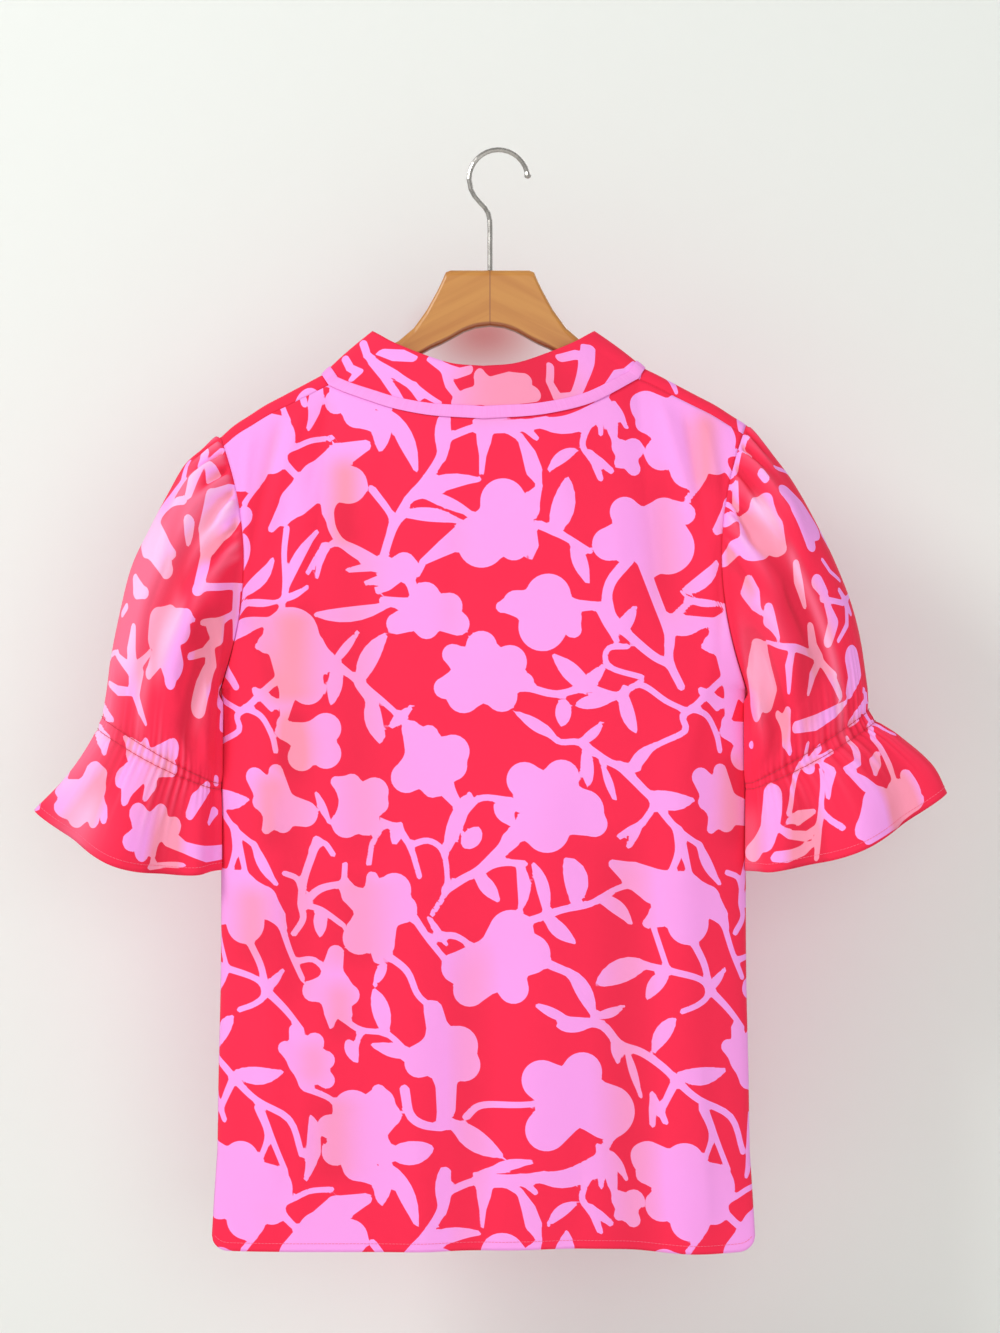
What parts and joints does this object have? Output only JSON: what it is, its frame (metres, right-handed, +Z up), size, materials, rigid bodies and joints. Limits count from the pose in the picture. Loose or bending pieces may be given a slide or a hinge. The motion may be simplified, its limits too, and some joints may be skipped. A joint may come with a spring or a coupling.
{
  "type": "blouse on a hanger",
  "caption": "Printed pull-over blouse with a stand collar, notched neck, gathered elbow sleeves with ruffles and side vents, hung on a flat wooden hanger.",
  "frame": {"origin": "point of the hook's inner side straight above its stem, where a rail bears", "axes": "+X to the wearer's left, -Y towards the garment's front, +Z up"},
  "size_m": [0.771, 0.0846, 0.937],
  "materials": {
    "printed_cloth": "matt woven cloth, printed",
    "plain_cloth": "matt woven cloth, plain",
    "wood": "satin varnish",
    "steel": "polished wire"
  },
  "bodies": {
    "root": {"back": "printed_cloth", "front": "printed_cloth", "sleeve_left": "printed_cloth", "sleeve_right": "printed_cloth", "collar": "printed_cloth", "neck_binding": "plain_cloth", "hanger": "wood", "hook": "steel"}
  },
  "joints": []
}
